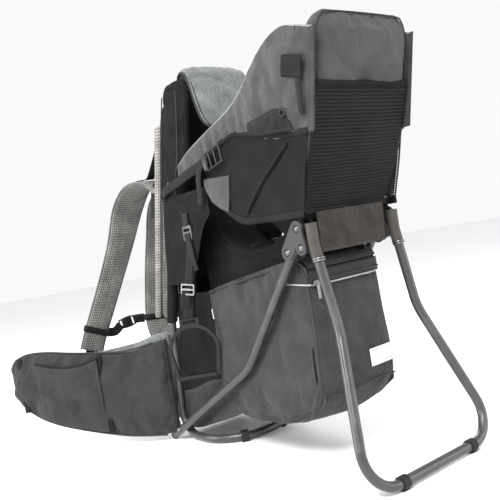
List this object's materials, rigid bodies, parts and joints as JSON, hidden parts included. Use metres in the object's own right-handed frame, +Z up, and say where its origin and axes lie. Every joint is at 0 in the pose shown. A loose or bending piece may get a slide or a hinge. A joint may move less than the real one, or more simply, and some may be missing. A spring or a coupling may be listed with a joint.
{
  "type": "framed baby carrier backpack",
  "caption": "Framed child carrier backpack with fold-out kickstand, padded straps and hip belt, deep side panels, headrest, foot stirrups and an under-seat storage bag.",
  "frame": {"origin": "on the floor under the middle of the bounding box", "axes": "+Z up, +Y the way the wearer faces, +X the wearer's right"},
  "size_m": [0.8466, 1.0627, 0.8915],
  "materials": {
    "tube": "satin",
    "rod": "satin",
    "bright_steel": "polished",
    "moulded_dark": "matte",
    "moulded_brown": "satin",
    "foot_rubber": "matte",
    "charcoal_nylon": "woven",
    "slate_nylon": "woven",
    "heather": "brushed knit",
    "air_mesh": "open mesh",
    "net_mesh": "open net",
    "webbing": "ribbed webbing",
    "brown_fabric": "woven",
    "label": "satin",
    "reflective": "reflective"
  },
  "bodies": {
    "carrier": {"back_frame": "tube", "top_bow": "tube", "frame_sleeves": "moulded_dark", "base_feet": "foot_rubber", "side_strut_left": "tube", "side_strut_right": "tube", "strut_caps": "foot_rubber", "hinge_plate_left": "moulded_dark", "hinge_plate_right": "moulded_dark", "hinge_pins": "bright_steel", "frame_rivets": "bright_steel", "hinge_crossbar": "tube", "headrest_frame": "rod", "rod_ferrules": "bright_steel", "front_panel": "charcoal_nylon", "back_panel": "air_mesh", "lumbar_pad": "heather", "headrest_pad": "charcoal_nylon", "rear_mesh": "net_mesh", "rear_panel": "brown_fabric", "side_wing_left": "slate_nylon", "side_wing_right": "slate_nylon", "side_mesh_left": "net_mesh", "side_mesh_right": "net_mesh", "drool_pad": "heather", "seat_sling": "charcoal_nylon", "storage_bag": "charcoal_nylon", "zip_band": "charcoal_nylon", "bag_label": "label", "hip_wing_left": "charcoal_nylon", "hip_wing_right": "charcoal_nylon", "shoulder_strap_left": "air_mesh", "shoulder_strap_right": "air_mesh", "load_lifters": "webbing", "strap_tails": "webbing", "strap_bands": "webbing", "sternum_strap": "webbing", "sternum_buckle": "moulded_dark", "compression_straps": "webbing", "ladder_buckles": "moulded_dark", "side_panel_left": "charcoal_nylon", "side_panel_right": "charcoal_nylon", "side_skirt_left": "charcoal_nylon", "side_skirt_right": "charcoal_nylon", "child_harness": "webbing", "harness_buckle": "moulded_dark", "stirrup_anchors": "bright_steel"},
    "kickstand": {"kick_tube": "tube", "kick_socket_left": "moulded_brown", "kick_socket_right": "moulded_brown", "kick_feet": "foot_rubber"},
    "left_foot_strap": {"stirrup_strap_left": "webbing", "tri_glide_left": "bright_steel"},
    "right_foot_strap": {"stirrup_strap_right": "webbing", "tri_glide_right": "bright_steel"},
    "left_stirrup": {"stirrup_left": "moulded_dark"},
    "right_stirrup": {"stirrup_right": "moulded_dark"},
    "zip_runner": {"zip_slider": "bright_steel"},
    "zip_tab": {"zip_pull": "reflective"}
  },
  "joints": [
    {"name": "kickstand_fold", "type": "hinge", "parent": "carrier", "child": "kickstand", "pos_m": [0, -0.3922, 0.441], "axis": [1, 0, 0], "range_deg": [0, 46]},
    {"name": "left_foot_strap_swing", "type": "hinge", "parent": "carrier", "child": "left_foot_strap", "pos_m": [-0.1285, -0.0122, 0.49], "axis": [0, 1, 0], "range_deg": [0, 40]},
    {"name": "left_stirrup_pivot", "type": "hinge", "parent": "left_foot_strap", "child": "left_stirrup", "pos_m": [-0.152, 0.0078, 0.312], "axis": [-0.7547, 0.6561, 0], "range_deg": [0, 35]},
    {"name": "right_foot_strap_swing", "type": "hinge", "parent": "carrier", "child": "right_foot_strap", "pos_m": [0.1285, -0.0122, 0.49], "axis": [0, -1, 0], "range_deg": [0, 40]},
    {"name": "right_stirrup_pivot", "type": "hinge", "parent": "right_foot_strap", "child": "right_stirrup", "pos_m": [0.152, 0.0078, 0.312], "axis": [-0.7547, -0.6561, 0], "range_deg": [0, 35]},
    {"name": "zip_slide", "type": "slide", "parent": "carrier", "child": "zip_runner", "axis": [1, 0, 0], "range_m": [0, 0.16]},
    {"name": "zip_tab_swing", "type": "hinge", "parent": "zip_runner", "child": "zip_tab", "pos_m": [-0.084, -0.371, 0.369], "axis": [-1, 0, 0], "range_deg": [0, 80]}
  ]
}
